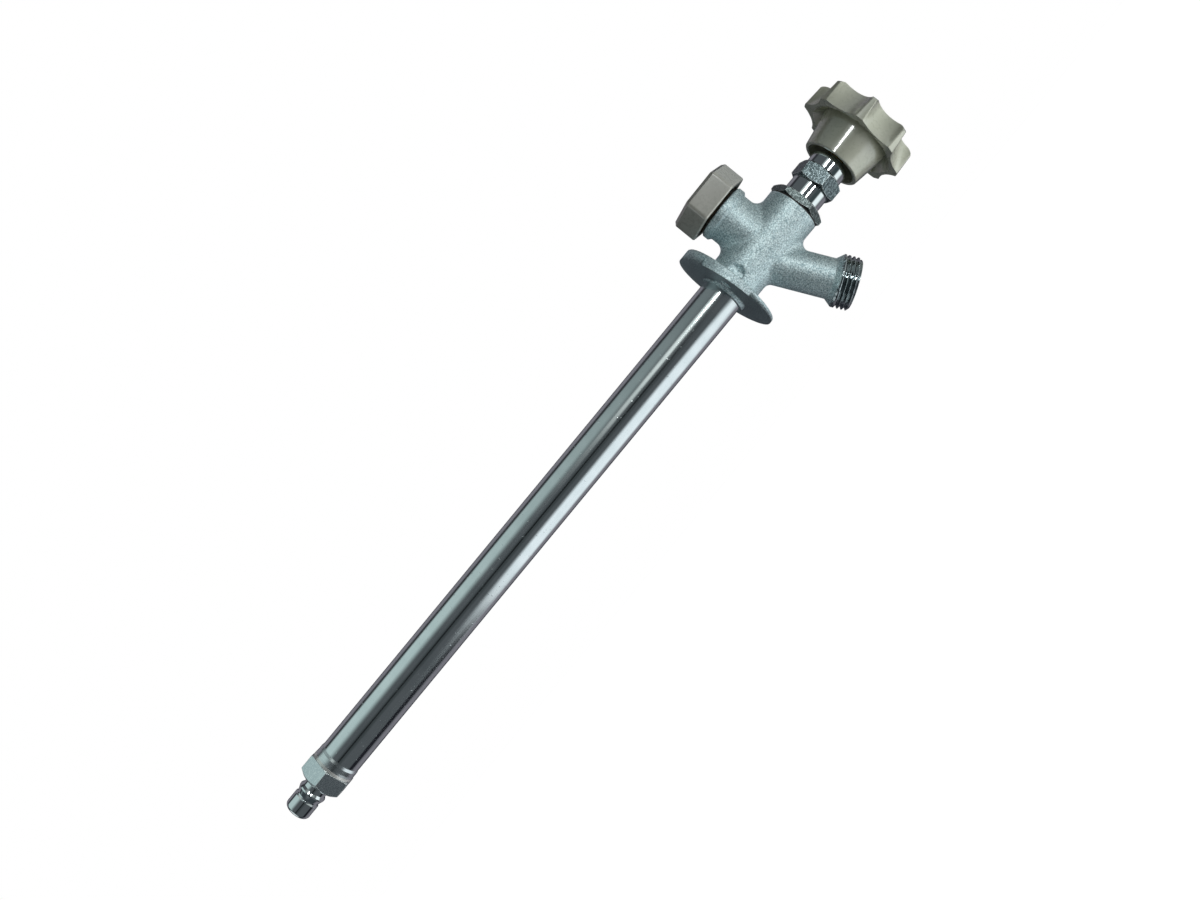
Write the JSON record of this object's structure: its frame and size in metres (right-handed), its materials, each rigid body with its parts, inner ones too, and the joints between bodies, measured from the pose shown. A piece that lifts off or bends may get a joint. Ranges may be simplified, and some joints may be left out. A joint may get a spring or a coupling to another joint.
{
  "type": "sillcock",
  "caption": "Frost-free wall hydrant: flanged cast head with angled hose outlet and vacuum breaker, long supply tube with crimp inlet, lobed handwheel on a screw stem.",
  "frame": {"origin": "on the tube's axis, in the plane of the flange's wall face", "axes": "+X along the tube's axis, out of the wall through the handle; +Z towards the vacuum breaker, away from the hose outlet"},
  "size_m": [0.4539, 0.0582, 0.0953],
  "materials": {
    "cast_satin_plate": "satin nickel plate over a sand casting",
    "tube_plate": "smooth nickel plate on drawn tube",
    "bright_plate": "polished chrome plate",
    "raw_brass": "machined brass",
    "grey_enamel": "semi-gloss warm grey enamel",
    "grey_plastic": "moulded warm grey plastic",
    "black_rubber": "moulded EPDM rubber",
    "packing_ptfe": "pressed PTFE",
    "white_acetal": "moulded acetal",
    "spring_steel": "stainless spring wire",
    "fibre": "vulcanised fibre",
    "zinc_steel": "stainless steel"
  },
  "bodies": {
    "hydrant": {"valve_body": "cast_satin_plate", "supply_tube": "tube_plate", "inlet_fitting": "cast_satin_plate", "bonnet": "bright_plate", "bonnet_gasket": "fibre", "packing_nut": "bright_plate", "packing_gland": "raw_brass", "stem_packing": "packing_ptfe", "check_retainer": "raw_brass", "check_spring": "spring_steel", "breaker_insert": "raw_brass", "breaker_gasket": "black_rubber", "breaker_cap": "grey_plastic"},
    "washer_swivel": {"washer_holder": "raw_brass", "swivel_clip": "spring_steel", "seat_washer": "black_rubber", "washer_screw": "raw_brass"},
    "stem_and_handle": {"stem": "raw_brass", "stem_guide": "white_acetal", "handle": "grey_enamel", "handle_screw": "zinc_steel"},
    "breaker_poppet": {"breaker_float": "white_acetal", "float_disc": "black_rubber"},
    "inlet_check": {"check_poppet": "white_acetal", "check_seal": "black_rubber"}
  },
  "joints": [
    {"name": "stem_travel", "type": "slide", "parent": "hydrant", "child": "washer_swivel", "axis": [1, 0, 0], "range_m": [0, 0.0075]},
    {"name": "handle_turn", "type": "hinge", "parent": "washer_swivel", "child": "stem_and_handle", "pos_m": [0, 0, 0], "axis": [1, 0, 0], "range_deg": [0, 1080]},
    {"name": "float_lift", "type": "slide", "parent": "hydrant", "child": "breaker_poppet", "axis": [0, 0, 1], "range_m": [0, 0.00315]},
    {"name": "check_lift", "type": "slide", "parent": "hydrant", "child": "inlet_check", "axis": [1, 0, 0], "range_m": [0, 0.0021], "stiffness_N_per_m": 120, "springref_m": -0.003, "deforming": ["check_spring"]}
  ],
  "couplings": [
    {"joint": "stem_travel", "follows": "handle_turn", "m_per_rad": 0.00039789}
  ]
}
